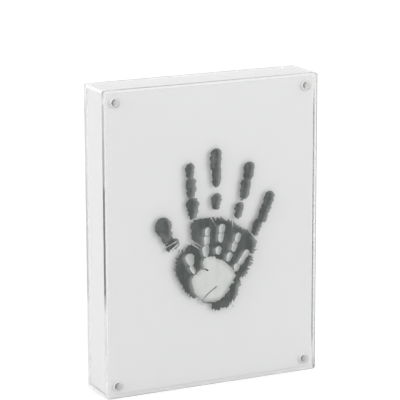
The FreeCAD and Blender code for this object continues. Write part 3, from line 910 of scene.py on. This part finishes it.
# The grid covers the CAD film and a margin round it
def makePrints():
    low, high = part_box("adult_handprint")
    x, z = np.meshgrid(
        np.arange(low.x / mm - film["margin"], high.x / mm + film["margin"], film["cell"]),
        np.arange(low.z / mm - film["margin"], high.z / mm + film["margin"], film["cell"]), indexing="ij")
    adultLayer, babyLayer = printLayers(x, z)
    for name, node, body, paint, layer in (
            ("adultPaint", "adult_handprint", "dark_paint", darkPaint, adultLayer),
            ("babyPaint", "baby_handprint", "pale_paint", palePaint, babyLayer)):
        piece = makeFilm(name, x, z, *layer)
        piece.data.materials.append(makePaint(name, paint))
        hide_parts(node)
        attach(piece, "front_cover")


makePrints()
print("hand prints laid on the front plate")

# White studio floor: plain to the camera, the metal and the acrylic, with the frame's shadow on it
floor = {
    "half": 3.0,
    "drop": 0.4 * mm,
    "colour": grey(0.82),
    "shade": grey(0.81),
    "mottleWaves": (3, 3, 3),
    "lift": 0.32,
}


def makeFloor():
    half, drop = floor["half"], -floor["drop"]
    mesh = bpy.data.meshes.new("studioFloor")
    ring = [(-half, -half, drop), (half, -half, drop), (half, half, drop), (-half, half, drop)]
    mesh.from_pydata(ring, [], [(0, 1, 2, 3)])
    piece = bpy.data.objects.new("studioFloor", mesh)
    bpy.context.scene.collection.objects.link(piece)
    material = bpy.data.materials.new("studioFloor")
    shader = Shader(material)
    mottle = shader.noise(floor["mottleWaves"], detail=2.0)
    colour = shader.mixColours(mottle, floor["shade"], floor["colour"])
    plain = shader.node("BsdfDiffuse", None, {"Color": colour})[0]
    glow = shader.node("Emission", None, {"Color": grey(1.0), "Strength": floor["lift"]})[0]
    both = shader.node("AddShader", None, {0: plain, 1: glow})[0]
    shader.finish(shader.node("MixShader", None, {0: shader.isSeen(), 1: plain, 2: both})[0])
    mesh.materials.append(material)


makeFloor()

# Soft room light, and a white room where the camera, the metal and the acrylic see it
room = {"light": 0.87, "seen": 1.0}


def lightRoom():
    world = bpy.data.worlds.new("room")
    bpy.context.scene.world = world
    shader = Shader(world)
    soft = shader.node("Background", None, {"Color": grey(1.0), "Strength": room["light"]})[0]
    white = shader.node("Background", None, {"Color": grey(1.0), "Strength": room["seen"]})[0]
    whole = shader.node("MixShader", None, {0: shader.isSeen(), 1: soft, 2: white})[0]
    shader.node("OutputWorld", None, {"Surface": whole})


lightRoom()

# A lamp is its bearing from the front, its height, how far off it is, its size and its power
lamps = {
    "key": {"bearing": 35, "height": 14, "far": 3.6, "size": 1.5, "power": 28.0},
    "side": {"bearing": -84, "height": 16, "far": 3.6, "size": 2.4, "power": 31.0},
}


def hangLamps():
    for name, lamp in lamps.items():
        bearing, height = math.radians(lamp["bearing"]), math.radians(lamp["height"])
        flat = math.cos(height)
        away = Vector((math.sin(bearing) * flat, -math.cos(bearing) * flat, math.sin(height)))
        data = bpy.data.lights.new(name, "AREA")
        data.shape = "DISK"
        data.size = lamp["size"]
        data.energy = lamp["power"]
        lampObject = bpy.data.objects.new(name, data)
        lampObject.location = frameMiddle + away * lamp["far"]
        lampObject.rotation_euler = away.to_track_quat("Z", "Y").to_euler()
        # polished edges mirror the white room, and not the lamps' discs
        lampObject.visible_glossy = False
        bpy.context.scene.collection.objects.link(lampObject)


hangLamps()

# The photograph's own viewpoint
viewpoint = {
    "place": (-0.9066, -1.9030, 0.6896),
    "azimuth": -25.41,
    "elevation": 13.52,
    "roll": -0.18,
    "lens": 198.2,
    "film": 36.0,
    "near": 0.05,
    "far": 50.0,
}


def setCamera():
    data = bpy.data.cameras.new("camera")
    data.lens = viewpoint["lens"]
    data.sensor_width = viewpoint["film"]
    data.clip_start = viewpoint["near"]
    data.clip_end = viewpoint["far"]
    camera = bpy.data.objects.new("camera", data)
    turn = Matrix.Rotation(math.radians(viewpoint["azimuth"]), 4, "Z")
    tilt = Matrix.Rotation(math.radians(90 - viewpoint["elevation"]), 4, "X")
    roll = Matrix.Rotation(math.radians(viewpoint["roll"]), 4, "Z")
    camera.matrix_world = Matrix.Translation(viewpoint["place"]) @ turn @ tilt @ roll
    bpy.context.scene.collection.objects.link(camera)
    bpy.context.scene.camera = camera


setCamera()
bpy.context.scene.view_settings.view_transform = "Standard"
# light runs along inside a clear plate by many inner reflections before it leaves an edge
bounces = {
    "max_bounces": 64,
    "glossy_bounces": 64,
    "transmission_bounces": 64,
    "transparent_max_bounces": 24,
}
for kind, most in bounces.items():
    setattr(bpy.context.scene.cycles, kind, most)

print("scene ready")
